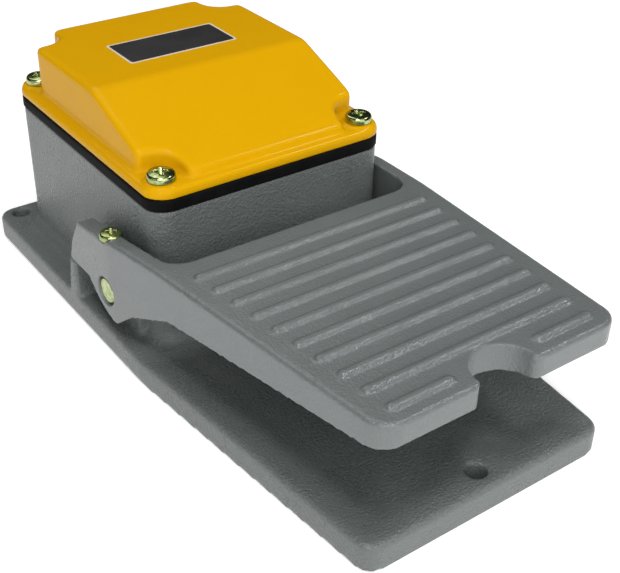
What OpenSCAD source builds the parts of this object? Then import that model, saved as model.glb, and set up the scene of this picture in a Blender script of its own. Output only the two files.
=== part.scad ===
// Industrial foot switch with a cast ribbed treadle, a cast housing and a domed cover.
// Millimetres. +Z up, +X to the right, the treadle's free end points to -Y.
// Origin: middle of the base plate's footprint, on the surface it stands on.

/* [Base plate] */
// Overall length of the base plate
plate_len = 240; // [236:1:250]
// Width of the parallel rear part of the plate
plate_w = 118.4; // [118:0.2:124]
// Width of the plate at its front edge
plate_front_w = 96.8; // [94:0.2:104]
// Thickness of the plate at its edge
plate_t = 10; // [9:0.5:11]
// Diameter of the three mounting holes
mount_hole_d = 7; // [5:0.5:9]
// Spacing of the two rear mounting holes
rear_hole_spacing = 101.8; // [100:0.2:103]

/* [Housing] */
// Outside width of the switch housing
housing_w = 96.4; // [95:0.2:97]
// Outside length of the switch housing
housing_len = 109.6; // [108:0.2:110]
// Height of the housing's rim above the floor
housing_h = 62.3; // [60:0.1:66]
// Wall thickness of the housing
wall = 4; // [3:0.5:4.5]
// Bore of the threaded cable inlet (M20 x 1.5)
inlet_d = 18.5; // [16:0.5:20]

/* [Cover] */
// Thickness of the rubber gasket
gasket_t = 4.6; // [3:0.2:5]
// Thickness of the cover's flange
flange_t = 3.8; // [3:0.2:5]
// Height of the cover's flat top above the floor
cover_h = 89.4; // [88:0.2:94]
// Angle of the cover's front slope
slope_deg = 20; // [15:1:21]

/* [Treadle] */
// Height of the treadle's top face at its front edge
treadle_h = 54.1; // [52:0.1:56]
// Depth of the treadle's front lip
lip_depth = 8.8; // [7:0.2:10]
// Thickness of the treadle's top
tread_t = 4.5; // [3:0.5:5]
// Number of tread ribs
rib_count = 10; // [6:1:10]
// Height of each tread rib
rib_h = 1.3; // [0.8:0.1:1.8]

/* [Mechanism] */
// Diameter of the pivot shaft
shaft_d = 10; // [8:0.5:10.5]
// Travel of the treadle, in degrees
travel_deg = 12; // [8:1:12]

/* [Hidden] */

// Colours
cast_grey = [0.47, 0.49, 0.49];
cover_yellow = [0.85, 0.62, 0.05];
rubber_black = [0.05, 0.05, 0.05];
zinc_yellow = [0.72, 0.72, 0.45];
steel = [0.62, 0.63, 0.64];
bronze = [0.66, 0.48, 0.25];
phenolic = [0.12, 0.09, 0.08];
brass = [0.78, 0.62, 0.28];

// Plate
y_front = -plate_len/2;
y_rear = plate_len/2;
plate_kink_y = y_front + 115.3;      // where the plate starts to taper
plate_corner_r = 6;
pocket_h = 3.5;                      // depth of the cast pockets underneath
rim_w = 6;
dish_depth = 2;                      // the front floor lies this much below the rim
front_hole_y = y_front + 8;
rear_hole_y = y_rear - 6.1;

// Housing
housing_y1 = y_rear - 12.7;
housing_y0 = housing_y1 - housing_len;
housing_cy = (housing_y0 + housing_y1)/2;
housing_r = 8;
cavity_r = 5;
foot_r = 3;                          // sloping foot round the housing

// Cover
flange_out = 0.3;                    // gasket and flange stand proud of the housing
flange_z = housing_h + gasket_t;
ledge_z = flange_z + flange_t;
ledge_w = 3.3;                       // ledge between the flange's edge and the dome
cover_wall = 3.2;
dome_r = 2.6;                        // rounding of the dome's edges
dome_flat_len = 59.8;
crease_y = housing_y1 - 3 - dome_flat_len;
screw_inset = 6.9;
screw_x = housing_w/2 - screw_inset;
screw_y = [housing_y0 + screw_inset, housing_y1 - screw_inset];
notch_clear_r = 9.2;

// Treadle and its arms
treadle_front_w = 92.8;
arm_out = 59;                        // outer face of the arms
arm_in = 52.6;                       // inner face of the arms
treadle_slope = 0.028;
cutout_y = housing_y0 - 14.2;        // front edge of the cut-out round the housing
skirt_wall = 4.6;
treadle_edge_r = 1.6;                // rounding of the treadle's edges
shaft_y = 17.7;
shaft_z = 26.3;
shaft_len = 2*arm_out - 1.2;
arm_top_z = 47;                      // seat of the clamp screws
clamp_x = 55.4;
arm_rest_z = 26;                     // underside of the arms at rest
arm_rear_y = 45.8;
toe_r = 10.6;                        // toe notch in the front lip
rib_pitch = 9.57;
rib_first_y = y_front + 6.8;
rib_r = 2.2;
rib_margin = 6.8;

// Mechanism in the housing
bush_out = 51.4;
bush_r = 7;
hub_r = 10.5;
switch_w = 17.4;
switch_y = [34, 83.2];
switch_z = [38, 62.2];
switch_hole_y = [46, 71.4];
switch_hole_z = 47;
lever_y = 60;
lever_z = 35.6;
lever_rest_deg = 10;
plunger_y = 54;
sheet_t = 0.5;
bracket_t = 2;
bracket_x = switch_w/2 + sheet_t;
bracket_y = [36, 80];
bracket_hole_x = bracket_x + 13;
bracket_hole_y = [44, 72];
floor_z = plate_t;
earth_pos = [-30, 88];
terminal_y = [41, 60, 77];

// Metric thread radii with the gap that the tapped hole keeps
m4_r = 2;
m5_r = 2.5;
tap_gap = 0.05;
fit_gap = 0.04;

// Width of the plate and of the treadle at a place along Y
function plate_half_w(y) = y > plate_kink_y ? plate_w/2
    : plate_front_w/2 + (plate_w - plate_front_w)/2*(y - y_front)/(plate_kink_y - y_front);
arm_flare_y = 14;
function treadle_half_w(y) = y > arm_flare_y ? arm_out
    : treadle_front_w/2 + (arm_out - treadle_front_w/2)*(y - y_front)/(arm_flare_y - y_front);
// Height of the treadle's top face and of its skirt's lower edge
function tread_z(y) = treadle_h - treadle_slope*(y - y_front);
skirt_rear = [-21, 34.2];
function skirt_z(y) = treadle_h - lip_depth
    + (skirt_rear.y - treadle_h + lip_depth)*(y - y_front)/(skirt_rear.x - y_front);

// Points of an arc that rounds the corner b between a and c
function unit(v) = v/norm(v);
function corner_arc(a, b, c, r, n = 6) =
    let (u = unit(a - b), w = unit(c - b), half = acos(u*w)/2, m = b + unit(u + w)*r/sin(half),
         p = b + u*r/tan(half), q = b + w*r/tan(half),
         a0 = atan2(p.y - m.y, p.x - m.x), turn = atan2(q.y - m.y, q.x - m.x) - a0,
         sweep = turn > 180 ? turn - 360 : turn < -180 ? turn + 360 : turn)
    [for (i = [0:n]) m + r*[cos(a0 + sweep*i/n), sin(a0 + sweep*i/n)]];
// A closed outline from [x, y, corner radius] vertices; radius 0 keeps the corner sharp
function rounded(v) = let (n = len(v)) [for (i = [0:n - 1])
    let (a = v[(i + n - 1) % n], b = v[i], c = v[(i + 1) % n])
    each b.z == 0 ? [[b.x, b.y]]
        : corner_arc([a.x, a.y], [b.x, b.y], [c.x, c.y], b.z)];
// Mirrors a half outline, given from front to rear at +X
function both_sides(half) = concat(half,
    [for (i = [len(half) - 1:-1:0]) [-half[i].x, half[i].y, half[i].z]]);

module rounded_rect(w, l, r) {
    square([w, l - 2*r], center = true);
    square([w - 2*r, l], center = true);
    for (x = [-1, 1], y = [-1, 1]) translate([x*(w/2 - r), y*(l/2 - r)]) circle(r, $fn = 48);
}

module housing_outline(grow = 0) {
    translate([0, housing_cy])
        rounded_rect(housing_w + 2*grow, housing_len + 2*grow, housing_r + grow);
}

// Stands a Y-Z outline up and extrudes it along X between two places
module side_extrude(x0, x1, points) {
    translate([x0, 0, 0]) rotate([90, 0, 90]) linear_extrude(x1 - x0) polygon(points);
}

module at_cover_screws() {
    for (x = [-screw_x, screw_x], y = screw_y) translate([x, y, 0]) children();
}

module plate_outline(inset = 0) {
    polygon(rounded(both_sides([
        [plate_half_w(y_front) - inset, y_front + inset, plate_corner_r],
        [plate_w/2 - inset, plate_kink_y, 30],
        [plate_w/2 - inset, y_rear - inset, plate_corner_r]])));
}

// Convex envelope that rounds the plate's upper edge
module plate_envelope() {
    edge_r = 1.5;
    hull() {
        translate([0, 0, -2]) linear_extrude(1) plate_outline(-0.5);
        for (a = [0:22.5:90]) linear_extrude(plate_t - edge_r*(1 - sin(a)))
            plate_outline(edge_r*(1 - cos(a)));
    }
}

module at_mount_holes() {
    translate([0, front_hole_y, 0]) children();
    for (x = [-1, 1]) translate([x*rear_hole_spacing/2, rear_hole_y, 0]) children();
}

// Pockets cast into the underside, between the rim, the ribs and the screw bosses
module underside_pockets() {
    rib_w = 4;
    translate([0, 0, -1]) linear_extrude(pocket_h + 1) difference() {
        plate_outline(rim_w);
        at_mount_holes() circle(rim_w + 3, $fn = 48);
        for (x = [-30, 0, 30]) translate([x - rib_w/2, y_front]) square([rib_w, plate_len]);
        for (y = [-75, -30, 30, 75]) translate([-plate_w/2, y - rib_w/2]) square([plate_w, rib_w]);
    }
}

// Shallow dished floor under the treadle, with sloping sides
module dished_floor() {
    slope_w = 7;
    dish_rear = housing_y0 - 5;
    function dish(inset) = rounded(both_sides([
        [plate_half_w(y_front + 16) - inset, y_front + 5 + inset, 7],
        [plate_half_w(dish_rear) - inset, dish_rear - inset, 7]]));
    difference() {
        hull() {
            translate([0, 0, plate_t + 0.2]) linear_extrude(0.1) polygon(dish(5));
            translate([0, 0, plate_t - dish_depth]) linear_extrude(0.1) polygon(dish(5 + slope_w));
        }
        translate([0, front_hole_y, 0]) cylinder(h = plate_t, r = 9.4, $fn = 64);
    }
}

// Upright behind each arm: the arm's rear end rests on it
module stop_webs() {
    web_y = [42, 46.7, 50];
    for (s = [0, 1]) mirror([s, 0, 0]) side_extrude(housing_w/2 - 1, plate_w/2,
        [[web_y[0], plate_t - 1], [web_y[2], plate_t - 1], [web_y[1], arm_rest_z - 0.1],
         [web_y[0], arm_rest_z - 0.1]]);
}

// Bosses that carry the pivot shaft, outside and inside both side walls
module shaft_bosses() {
    boss_in = 40;
    for (s = [-1, 1]) {
        translate([s*(bush_out + boss_in)/2, shaft_y, shaft_z]) rotate([0, 90, 0])
            cylinder(h = bush_out - boss_in, r = 10, center = true, $fn = 64);
        translate([s*(bush_out + boss_in)/2, shaft_y, plate_t + (shaft_z - plate_t)/2 - 0.5])
            cube([bush_out - boss_in, 20, shaft_z - plate_t + 1], center = true);
    }
}

module base_casting() {
    inlet_z = 38;
    color(cast_grey) difference() {
        union() {
            difference() {
                intersection() {
                    linear_extrude(plate_t) plate_outline();
                    plate_envelope();
                }
                dished_floor();
            }
            difference() {
                union() {
                    hull() {
                        translate([0, 0, plate_t - 1]) linear_extrude(1) housing_outline(foot_r);
                        translate([0, 0, plate_t]) linear_extrude(foot_r) housing_outline();
                    }
                    translate([0, 0, plate_t - 1]) linear_extrude(housing_h - plate_t + 1)
                        housing_outline();
                }
                translate([0, 0, floor_z]) linear_extrude(housing_h) difference() {
                    translate([0, housing_cy])
                        rounded_rect(housing_w - 2*wall, housing_len - 2*wall, cavity_r);
                    for (x = [-screw_x, screw_x], y = screw_y) translate([x, y]) {
                        circle(6.5, $fn = 48);
                        translate([sign(x)*4, 0]) square([8, 13], center = true);
                        translate([0, sign(y - housing_cy)*4]) square([13, 8], center = true);
                    }
                }
            }
            stop_webs();
            shaft_bosses();
            translate([0, housing_y1 - 1, inlet_z]) rotate([-90, 0, 0])
                cylinder(h = 6.5, r = inlet_d/2 + 5, $fn = 64);
            translate([earth_pos.x, earth_pos.y, floor_z - 1]) cylinder(h = 4, r = 6, $fn = 48);
            translate([-5, 4, floor_z - 1]) cube([10, 7, 3.4]);
        }
        at_mount_holes() translate([0, 0, -1]) cylinder(h = plate_t + 5, d = mount_hole_d, $fn = 48);
        underside_pockets();
        translate([-70, shaft_y, shaft_z]) rotate([0, 90, 0])
            cylinder(h = 140, r = bush_r, $fn = 64);
        at_cover_screws() translate([0, 0, housing_h - 19])
            cylinder(h = 20, r = m5_r + tap_gap, $fn = 32);
        translate([0, housing_y1 - wall - 1, inlet_z]) rotate([-90, 0, 0])
            cylinder(h = 14, d = inlet_d, $fn = 64);
        for (y = bracket_hole_y) translate([bracket_hole_x, y, floor_z - 5])
            cylinder(h = 6, r = m4_r + tap_gap, $fn = 32);
        translate([earth_pos.x, earth_pos.y, floor_z - 4.5])
            cylinder(h = 9, r = m4_r + tap_gap, $fn = 32);
    }
}

module gasket() {
    color(rubber_black) translate([0, 0, housing_h]) linear_extrude(gasket_t) difference() {
        housing_outline(flange_out);
        difference() {
            translate([0, housing_cy])
                rounded_rect(housing_w - 2*wall, housing_len - 2*wall, cavity_r);
            at_cover_screws() circle(6.5, $fn = 48);
        }
        at_cover_screws() circle(m5_r + 0.25, $fn = 32);
    }
}

// Plan of the dome: a rectangle with a round notch at each screw
module dome_rect(inset = 0) {
    translate([0, housing_cy]) rounded_rect(housing_w + 2*(flange_out - ledge_w - inset),
        housing_len + 2*(flange_out - ledge_w - inset), 4);
}
module dome_outline(inset = 0) {
    difference() {
        dome_rect(inset);
        at_cover_screws() circle(notch_clear_r + inset, $fn = 64);
    }
}

// Space under the dome's roof, seen from the side: flat at the rear, sloping to the front
module roof_space(drop = 0) {
    y0 = housing_y0 - 5;
    top = cover_h - drop;
    side_extrude(-housing_w, housing_w, [[y0, 0], [y0, top - (crease_y - y0)*tan(slope_deg)],
        [crease_y - drop*tan(slope_deg/2), top], [housing_y1 + 5, top], [housing_y1 + 5, 0]]);
}

// The dome before its notches are cut, with rounded outer edges
module dome_block() {
    hull() for (a = [0:22.5:90]) intersection() {
        translate([0, 0, flange_z + 1]) linear_extrude(cover_h) dome_rect(dome_r*(1 - cos(a)));
        roof_space(dome_r*(1 - sin(a)));
    }
}

// Flared mouth that rounds the rim of a notch, with the roof's surface at z = 0
module notch_mouth() {
    rotate_extrude($fn = 64) polygon(concat([[0, 3], [0, -dome_r]],
        [for (a = [0, 30, 60]) [notch_clear_r + dome_r*(1 - cos(a)), dome_r*(sin(a) - 1)]],
        [[notch_clear_r + 3*dome_r, 0.54*dome_r], [notch_clear_r + 3*dome_r, 3]]));
}

// Flange with a rounded upper edge
module rounded_flange() {
    edge_r = 1.8;
    hull() {
        translate([0, 0, flange_z]) linear_extrude(flange_t - edge_r) housing_outline(flange_out);
        for (a = [30, 60, 90]) translate([0, 0, flange_z])
            linear_extrude(flange_t - edge_r*(1 - sin(a)))
                housing_outline(flange_out - edge_r*(1 - cos(a)));
    }
}

module cover() {
    pad_h = 0.6;
    color(cover_yellow) difference() {
        union() {
            rounded_flange();
            difference() {
                dome_block();
                at_cover_screws() translate([0, 0, flange_z])
                    cylinder(h = cover_h, r = notch_clear_r, $fn = 64);
                for (x = [-screw_x, screw_x]) {
                    translate([x, screw_y[1], cover_h]) notch_mouth();
                    translate([x, screw_y[0], cover_h - (crease_y - screw_y[0])*tan(slope_deg)])
                        rotate([slope_deg, 0, 0]) notch_mouth();
                }
            }
            at_cover_screws() translate([0, 0, ledge_z - 1]) cylinder(h = 1 + pad_h, r = 6, $fn = 48);
        }
        intersection() {
            translate([0, 0, flange_z - 1]) linear_extrude(cover_h) dome_outline(cover_wall);
            roof_space(cover_wall);
        }
        at_cover_screws() translate([0, 0, flange_z - 1])
            cylinder(h = 10, r = m5_r + 0.25, $fn = 32);
    }
}

// Pan head screw, head seated at z = 0, with a domed head and a cross recess
module pan_screw(shank_r, shank_len, head_r, head_h) {
    dome_r = 1.6*head_r;
    slot_w = head_r*0.24;
    difference() {
        union() {
            intersection() {
                cylinder(h = head_h, r = head_r, $fn = 48);
                translate([0, 0, head_h - dome_r]) sphere(dome_r, $fn = 96);
            }
            translate([0, 0, -shank_len]) cylinder(h = shank_len + 0.5, r = shank_r, $fn = 32);
        }
        for (a = [45, 135]) rotate(a) translate([-head_r*0.55, -slot_w/2, head_h*0.4])
            cube([head_r*1.1, slot_w, head_h]);
    }
}

module cover_screws() {
    color(zinc_yellow) at_cover_screws() translate([0, 0, ledge_z + 0.6]) pan_screw(m5_r, 24, 4.8, 3.2);
}

// Outer outline of the treadle and its arms, without the toe notch and the cut-out
module treadle_outline(inset = 0) {
    polygon(rounded(both_sides([
        [treadle_half_w(y_front) - inset, y_front + inset, 8 - inset],
        [arm_out - inset, arm_flare_y, 40],
        [arm_out - inset, arm_rear_y + 1, 0]])));
}

// Plan of the treadle with its two arms
module treadle_plan() {
    toe_y = y_front + 2.5;
    mouth_r = 3;
    difference() {
        treadle_outline();
        polygon(rounded(both_sides([
            [arm_in - 2.4, cutout_y, 9],
            [arm_in, cutout_y + 26, 20],
            [arm_in, arm_rear_y + 2, 0]])));
        difference() {
            union() {
                translate([0, toe_y]) circle(toe_r, $fn = 64);
                translate([-toe_r - mouth_r, y_front - 1]) square([2*(toe_r + mouth_r), mouth_r + 1]);
            }
            for (x = [-1, 1]) translate([x*(toe_r + mouth_r), y_front + mouth_r])
                circle(mouth_r, $fn = 48);
        }
    }
}

// Side view of the treadle and its arms
treadle_side = rounded([
    [y_front, tread_z(y_front), 1.5],
    [cutout_y, tread_z(cutout_y), 60],
    [10, tread_z(cutout_y) - 2, 60],
    [37, 45.2, 4],
    [42, 37.5, 8],
    [arm_rear_y, arm_rest_z, 1],
    [31, arm_rest_z, 3],
    [23.3, 19.6, 6],
    [12.2, 14.9, 3.5],
    [1.5, 23.6, 12],
    [skirt_rear.x, skirt_rear.y, 14],
    [y_front, skirt_z(y_front), 1]]);

// Convex envelope that rounds the treadle's upper edges all the way round
module treadle_envelope() {
    top = [[y_front, tread_z(y_front)], [cutout_y, tread_z(cutout_y)],
        [10, tread_z(cutout_y) - 2], [37, 45.2], [42, 37.5], [arm_rear_y, arm_rest_z]];
    hull() {
        translate([0, 0, -1]) linear_extrude(1) treadle_outline(-1);
        for (a = [0:22.5:90]) {
            inset = treadle_edge_r*(1 - cos(a));
            drop = treadle_edge_r*(1 - sin(a));
            intersection() {
                linear_extrude(treadle_h + 2) treadle_outline(inset);
                side_extrude(-arm_out, arm_out, concat([[y_front, -1]],
                    [for (p = top) [p.x, p.y - drop]], [[arm_rear_y + 2, arm_rest_z], [arm_rear_y + 2, -1]]));
            }
        }
    }
}

// The hollow under the treadle, inside its skirt, with two stiffening ribs left standing
module treadle_hollow() {
    hollow_y0 = y_front + 5.2;
    hollow_y1 = cutout_y - 4.8;
    difference() {
        intersection() {
            linear_extrude(treadle_h) difference() {
                polygon(rounded(both_sides([
                    [treadle_half_w(hollow_y0) - skirt_wall, hollow_y0, 4],
                    [treadle_half_w(hollow_y1) - skirt_wall, hollow_y1, 5]])));
                translate([0, y_front + 2.5]) circle(toe_r + skirt_wall, $fn = 64);
            }
            side_extrude(-arm_out, arm_out, [
                [y_front, 0], [y_front, tread_z(y_front) - tread_t],
                [0, tread_z(0) - tread_t], [0, 0]]);
        }
        for (x = [-22, 22]) side_extrude(x - 1.5, x + 1.5, [
            [y_front, skirt_z(y_front) + 2.5], [y_front, 60], [0, 60], [0, skirt_z(0) + 2.5]]);
    }
}

module tread_rib(x0, x1) {
    translate([x0 + rib_r, 0, 0]) sphere(rib_r, $fn = 32);
    translate([x1 - rib_r, 0, 0]) sphere(rib_r, $fn = 32);
    translate([x0 + rib_r, 0, 0]) rotate([0, 90, 0]) cylinder(h = x1 - x0 - 2*rib_r, r = rib_r, $fn = 32);
}

module tread_ribs() {
    for (i = [0:rib_count - 1]) {
        y = rib_first_y + i*rib_pitch;
        x_end = treadle_half_w(y) - rib_margin;
        translate([0, y, tread_z(y) + rib_h - rib_r])
            if (i == 0) for (s = [0, 1]) mirror([s, 0, 0]) tread_rib(15.3, x_end);
            else tread_rib(-x_end, x_end);
    }
}

module pedal() {
    color(cast_grey) difference() {
        union() {
            intersection() {
                linear_extrude(treadle_h + 2) treadle_plan();
                side_extrude(-arm_out, arm_out, treadle_side);
                treadle_envelope();
            }
            tread_ribs();
        }
        treadle_hollow();
        translate([-70, shaft_y, shaft_z]) rotate([0, 90, 0])
            cylinder(h = 140, r = shaft_d/2 + fit_gap, $fn = 64);
        for (x = [-clamp_x, clamp_x]) translate([x, shaft_y, 0]) {
            translate([0, 0, shaft_z]) cylinder(h = 30, r = m4_r + tap_gap, $fn = 32);
            translate([0, 0, arm_top_z]) cylinder(h = 10, r = 4, $fn = 48);
        }
    }
}

module pivot_shaft() {
    chamfer = 0.6;
    color(zinc_yellow) difference() {
        translate([-shaft_len/2, shaft_y, shaft_z]) rotate([0, 90, 0]) rotate_extrude($fn = 64)
            polygon([[0, 0], [shaft_d/2 - chamfer, 0], [shaft_d/2, chamfer],
                [shaft_d/2, shaft_len - chamfer], [shaft_d/2 - chamfer, shaft_len], [0, shaft_len]]);
        for (x = [-clamp_x, clamp_x]) translate([x, shaft_y, shaft_z + 1.8])
            cylinder(h = 10, r = m4_r + 0.15, $fn = 32);
        translate([0, shaft_y, shaft_z + 2]) cylinder(h = 10, r = m5_r + 0.15, $fn = 32);
    }
}

module shaft_bushes() {
    bush_in = 40;
    color(bronze) for (s = [0, 1]) mirror([s, 0, 0])
        difference() {
            union() {
                translate([bush_in, shaft_y, shaft_z]) rotate([0, 90, 0])
                    cylinder(h = bush_out - bush_in, r = bush_r - 0.02, $fn = 64);
                translate([bush_out, shaft_y, shaft_z]) rotate([0, 90, 0])
                    cylinder(h = 0.8, r = bush_r + 2, $fn = 64);
            }
            translate([bush_in - 1, shaft_y, shaft_z]) rotate([0, 90, 0])
                cylinder(h = 20, r = shaft_d/2 + 0.05, $fn = 64);
        }
}

module arm_clamp_screws() {
    color(zinc_yellow) for (x = [-clamp_x, clamp_x]) translate([x, shaft_y, arm_top_z])
        pan_screw(m4_r, arm_top_z - shaft_z - 2, 3.6, 2.6);
}

// Cam clamped to the middle of the shaft: an arm that lifts the switch lever, a heel that
// meets the stop pad on the housing floor at the end of the travel
module actuator_cam() {
    tip = [21.3, 2.35];
    tip_r = 2.5;
    spring_seat = spring_r - wire_r - 0.1;
    color(steel) translate([0, shaft_y, shaft_z]) difference() {
        union() {
            rotate([0, 90, 0]) cylinder(h = 14, r = hub_r, center = true, $fn = 64);
            side_extrude(-5, 5, [[0, -9], [tip.x, tip.y - tip_r], [tip.x + 1, tip.y + tip_r*0.9],
                [tip.x - 1, tip.y + tip_r*0.9], [17.2, 4], [17.2, spring_seat], [0, spring_seat]]);
            translate([0, tip.x, tip.y]) rotate([0, 90, 0])
                cylinder(h = 10, r = tip_r, center = true, $fn = 48);
            side_extrude(-5, 5, [[-13, -11.3], [-3, -11.3], [0, -5], [0, 5], [-9, 2], [-13, -5]]);
        }
        rotate([0, 90, 0]) cylinder(h = 20, r = shaft_d/2 + fit_gap, center = true, $fn = 64);
        cylinder(h = 20, r = m5_r + tap_gap, $fn = 32);
    }
}

module cam_set_screw() {
    color(steel) translate([0, shaft_y, shaft_z + 2.2]) difference() {
        cylinder(h = 9, r = m5_r, $fn = 32);
        translate([0, 0, 6.5]) cylinder(h = 5, r = 1.45, $fn = 6);
    }
}

// Torsion spring round the shaft: one leg stands on the floor, the other bears on the cam
spring_r = 8;
wire_r = 1;
spring_turns = 5;
spring_x = [-21, -9.5];
spring_steps = 16;
function spring_point(i) = let (t = i/spring_steps, a = 180 - 360*t)
    [spring_x[0] + (spring_x[1] - spring_x[0])*t/(spring_turns + 0.75),
     spring_r*cos(a), spring_r*sin(a)];
spring_path = concat(
    [[spring_x[0], -spring_r, floor_z + 0.1 - shaft_z], [spring_x[0], -spring_r, -6]],
    [for (i = [0:(spring_turns + 0.25)*spring_steps]) spring_point(i)],
    [[spring_x[1], 5, spring_r], [spring_x[1], 13, spring_r], [spring_x[1] + 0.6, 15.2, spring_r],
     [spring_x[1] + 2, 16, spring_r], [-1, 16, spring_r]]);

// Tube swept along a path, with square ends; each ring faces the path's local direction
module swept_tube(path, r, sides = 8) {
    n = len(path);
    function dir(i) = unit(path[min(i + 1, n - 1)] - path[max(i - 1, 0)]);
    function ring(i) = let (d = dir(i), u = unit(cross(d, abs(d.x) > 0.8 ? [0, 1, 0] : [1, 0, 0])),
        w = cross(d, u)) [for (k = [0:sides - 1]) path[i] + r*(u*cos(360*k/sides) + w*sin(360*k/sides))];
    points = [for (i = [0:n - 1]) each ring(i)];
    walls = [for (i = [0:n - 2], k = [0:sides - 1]) let (k2 = (k + 1) % sides)
        [i*sides + k, i*sides + k2, (i + 1)*sides + k2, (i + 1)*sides + k]];
    ends = [[for (k = [sides - 1:-1:0]) k], [for (k = [0:sides - 1]) (n - 1)*sides + k]];
    polyhedron(points, concat(walls, ends), convexity = 10);
}

module return_spring() {
    color(steel) translate([0, shaft_y, shaft_z]) swept_tube(spring_path, wire_r);
}

module switch_bracket() {
    foot_x = bracket_hole_x + 8;
    color(steel) difference() {
        union() {
            side_extrude(bracket_x, bracket_x + bracket_t, rounded([
                [bracket_y[0], floor_z, 0], [bracket_y[0], 58, 5],
                [bracket_y[1], 58, 5], [bracket_y[1], floor_z, 0]]));
            translate([0, 0, floor_z]) linear_extrude(bracket_t) polygon(rounded([
                [bracket_x, bracket_y[0], 0], [foot_x, bracket_y[0], 4],
                [foot_x, bracket_y[1], 4], [bracket_x, bracket_y[1], 0]]));
        }
        for (y = bracket_hole_y) translate([bracket_hole_x, y, floor_z - 1])
            cylinder(h = 5, r = m4_r + 0.2, $fn = 32);
        at_switch_holes() cylinder(h = 40, r = m4_r + 0.2, center = true, $fn = 32);
    }
}

module at_switch_holes() {
    for (y = switch_hole_y) translate([0, y, switch_hole_z]) rotate([0, 90, 0]) children();
}

module bracket_screws() {
    color(zinc_yellow) for (y = bracket_hole_y) translate([bracket_hole_x, y, floor_z + bracket_t])
        pan_screw(m4_r, 6.5, 3.9, 2.7);
}

module insulation_sheet() {
    color([0.75, 0.68, 0.45]) difference() {
        translate([switch_w/2, bracket_y[0], switch_z[0] - 3])
            cube([sheet_t, bracket_y[1] - bracket_y[0], 23]);
        at_switch_holes() cylinder(h = 40, r = m4_r + 0.2, center = true, $fn = 32);
    }
}

// Snap-action switch, mounted with its plunger down and its terminals up
module switch_body() {
    ear_x = [4, 6];
    color(phenolic) difference() {
        union() {
            side_extrude(-switch_w/2, switch_w/2, rounded([
                [switch_y[0], switch_z[0], 1.5], [switch_y[1], switch_z[0], 1.5],
                [switch_y[1], switch_z[1], 1.5], [switch_y[0], switch_z[1], 1.5]]));
            for (y = [50.5, 68.5]) translate([-switch_w/2, y - 0.75, switch_z[1] - 1])
                cube([switch_w, 1.5, 5]);
            for (s = [0, 1]) mirror([s, 0, 0]) translate([ear_x[0], lever_y - 2.2, lever_z - 2])
                cube([ear_x[1] - ear_x[0], 4.4, 6]);
        }
        at_switch_holes() cylinder(h = 40, r = m4_r + 0.15, center = true, $fn = 32);
        translate([0, plunger_y, switch_z[0] - 1]) cylinder(h = 8, r = 1.6, $fn = 32);
        translate([0, lever_y, lever_z]) rotate([0, 90, 0])
            cylinder(h = 20, r = 0.82, center = true, $fn = 32);
        for (y = terminal_y) translate([0, y, switch_z[1] - 7])
            cylinder(h = 10, r = m4_r, $fn = 32);
    }
}

module switch_plunger() {
    plunger_r = 1.5;
    color([0.6, 0.12, 0.1]) translate([0, plunger_y, 35.1 + plunger_r]) {
        sphere(plunger_r, $fn = 32);
        cylinder(h = 6, r = plunger_r, $fn = 32);
    }
}

// Hinged lever under the switch; its free end lies over the cam
module switch_lever() {
    strip_t = 0.8;
    strip_w = 7;
    strip_len = 24.5;
    color(steel) translate([0, lever_y, lever_z]) rotate([lever_rest_deg, 0, 0]) difference() {
        union() {
            rotate([0, 90, 0]) cylinder(h = strip_w, r = 1.8, center = true, $fn = 32);
            translate([-strip_w/2, -strip_len, -strip_t/2]) cube([strip_w, strip_len, strip_t]);
        }
        rotate([0, 90, 0]) cylinder(h = 20, r = 0.86, center = true, $fn = 32);
    }
}

module lever_pin() {
    color(steel) translate([0, lever_y, lever_z]) rotate([0, 90, 0])
        cylinder(h = 12.6, r = 0.8, center = true, $fn = 32);
}

module switch_terminals() {
    tab_w = 9;
    tab_t = 1.2;
    color(brass) for (y = terminal_y) difference() {
        translate([-tab_w/2, y - tab_w/2, switch_z[1]]) cube([tab_w + 4, tab_w, tab_t]);
        translate([0, y, switch_z[1] - 1]) cylinder(h = 4, r = m4_r, $fn = 32);
    }
}

module terminal_screws() {
    color(zinc_yellow) for (y = terminal_y) translate([0, y, switch_z[1] + 1.2])
        pan_screw(m4_r - 0.1, 6.5, 3.6, 2.4);
}

module switch_screws() {
    color(steel) at_switch_holes() translate([0, 0, -switch_w/2]) rotate([180, 0, 0])
        pan_screw(m4_r, switch_w + 8, 3.9, 2.7);
}

module switch_nuts() {
    color(steel) at_switch_holes() translate([0, 0, bracket_x + bracket_t]) difference() {
        cylinder(h = 3.2, r = 4.04, $fn = 6);
        translate([0, 0, -1]) cylinder(h = 6, r = m4_r + 0.02, $fn = 32);
    }
}

module earth_screw() {
    color(zinc_yellow) translate([earth_pos.x, earth_pos.y, floor_z + 4]) pan_screw(m4_r, 8, 3.9, 2.7);
}

module earth_washer() {
    color(brass) translate([earth_pos.x, earth_pos.y, floor_z + 3]) difference() {
        cylinder(h = 1, r = 5, $fn = 48);
        translate([0, 0, -1]) cylinder(h = 3, r = m4_r + 0.15, $fn = 32);
    }
}

base_casting();
gasket();
cover();
cover_screws();
pedal();
pivot_shaft();
shaft_bushes();
arm_clamp_screws();
actuator_cam();
cam_set_screw();
return_spring();
switch_bracket();
bracket_screws();
insulation_sheet();
switch_body();
switch_plunger();
switch_lever();
lever_pin();
switch_terminals();
terminal_screws();
switch_screws();
switch_nuts();
earth_screw();
earth_washer();
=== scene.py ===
"""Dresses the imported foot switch: soft cast skins, enamel, rubber, plated screws, a bare nameplate,
and a pale studio. Lengths are in metres unless a name says mm."""

import math

import bmesh
import bpy
from bpy.props import FloatProperty, FloatVectorProperty, IntProperty, PointerProperty
from bpy.types import Operator, Panel, PropertyGroup
from mathutils import Matrix, Vector, geometry


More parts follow.
